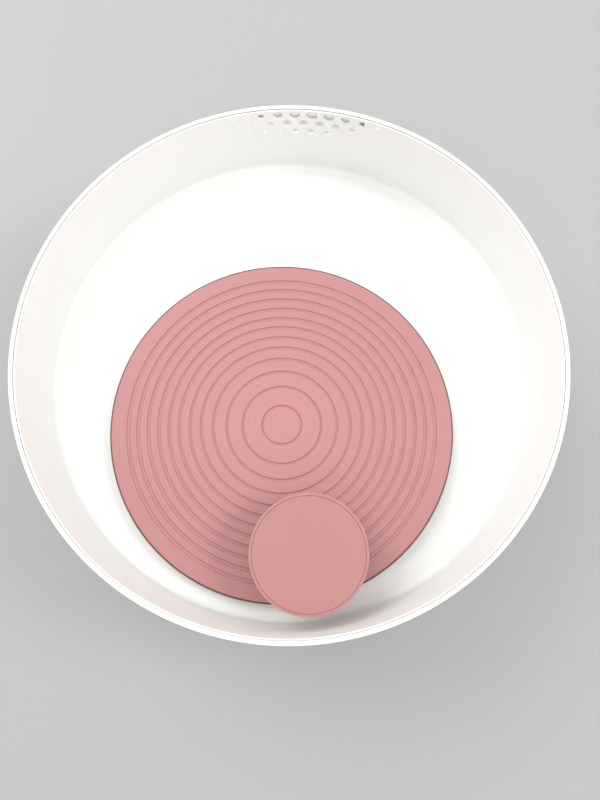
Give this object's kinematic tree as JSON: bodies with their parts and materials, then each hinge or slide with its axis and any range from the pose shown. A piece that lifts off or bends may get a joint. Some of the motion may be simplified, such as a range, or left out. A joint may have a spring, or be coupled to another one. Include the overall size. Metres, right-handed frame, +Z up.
{
  "type": "pottery wheel",
  "caption": "Round tabletop pottery wheel: a splash basin on a drum base, an off-centre grooved wheel head that turns freely, and a palm knob near its edge.",
  "frame": {"origin": "on the splash basin's axis, at the height of the surface that the feet stand on", "axes": "+Z up along the basin's axis; +Y away from the potter, towards the strainer holes; +X to the potter's right"},
  "size_m": [0.2928, 0.2928, 0.125],
  "materials": {
    "white_plastic": "satin",
    "white_trim": "gloss",
    "pink_plastic": "matte",
    "acetal": "satin",
    "rubber": "matte",
    "bright_steel": "bright",
    "cast_iron": "painted",
    "cast_aluminium": "cast"
  },
  "bodies": {
    "stand": {"base_plate": "white_plastic", "base_shell": "white_plastic", "splash_basin": "white_plastic", "rim_ring": "white_trim", "basin_gasket": "rubber", "bearing_housing": "cast_aluminium", "lower_outer_race": "bright_steel", "upper_outer_race": "bright_steel", "rubber_foot_1": "rubber", "rubber_foot_2": "rubber", "rubber_foot_3": "rubber", "rubber_foot_4": "rubber", "foot_screw_1": "bright_steel", "foot_screw_2": "bright_steel", "foot_screw_3": "bright_steel", "foot_screw_4": "bright_steel", "base_screw_1": "bright_steel", "base_screw_2": "bright_steel", "base_screw_3": "bright_steel", "base_screw_4": "bright_steel", "housing_screw_1": "bright_steel", "housing_screw_2": "bright_steel", "housing_screw_3": "bright_steel", "housing_screw_4": "bright_steel", "basin_screw_1": "bright_steel", "basin_screw_2": "bright_steel", "basin_screw_3": "bright_steel", "basin_screw_4": "bright_steel", "basin_washer_1": "rubber", "basin_washer_2": "rubber", "basin_washer_3": "rubber", "basin_washer_4": "rubber"},
    "wheel": {"wheel_head": "pink_plastic", "spindle": "bright_steel", "spindle_clip": "bright_steel", "drive_pin": "bright_steel", "race_spacer": "bright_steel", "lower_inner_race": "bright_steel", "upper_inner_race": "bright_steel", "flywheel": "cast_iron", "flywheel_washer": "bright_steel", "flywheel_nut": "bright_steel", "flinger_ring": "rubber", "knob_screw": "bright_steel", "knob_nut": "bright_steel", "knob_washer": "acetal"},
    "knob": {"knob_body": "pink_plastic", "knob_cap": "pink_plastic", "knob_bush": "acetal"},
    "lower_balls": {"lower_ball_cage": "bright_steel"},
    "upper_balls": {"upper_ball_cage": "bright_steel"}
  },
  "joints": [
    {"name": "wheel_spin", "type": "hinge", "parent": "stand", "child": "wheel", "pos_m": [0, -0.0332, 0.0805], "axis": [0, 0, 1], "continuous": true},
    {"name": "knob_spin", "type": "hinge", "parent": "wheel", "child": "knob", "pos_m": [0.02574, -0.10205, 0.1085], "axis": [0, 0, 1], "continuous": true},
    {"name": "lower_cage_turn", "type": "hinge", "parent": "stand", "child": "lower_balls", "pos_m": [0, -0.0332, 0.0193], "axis": [0, 0, 1], "continuous": true},
    {"name": "upper_cage_turn", "type": "hinge", "parent": "stand", "child": "upper_balls", "pos_m": [0, -0.0332, 0.0405], "axis": [0, 0, 1], "continuous": true}
  ],
  "couplings": [
    {"joint": "lower_cage_turn", "follows": "wheel_spin", "ratio": 0.3973},
    {"joint": "upper_cage_turn", "follows": "wheel_spin", "ratio": 0.3973}
  ]
}
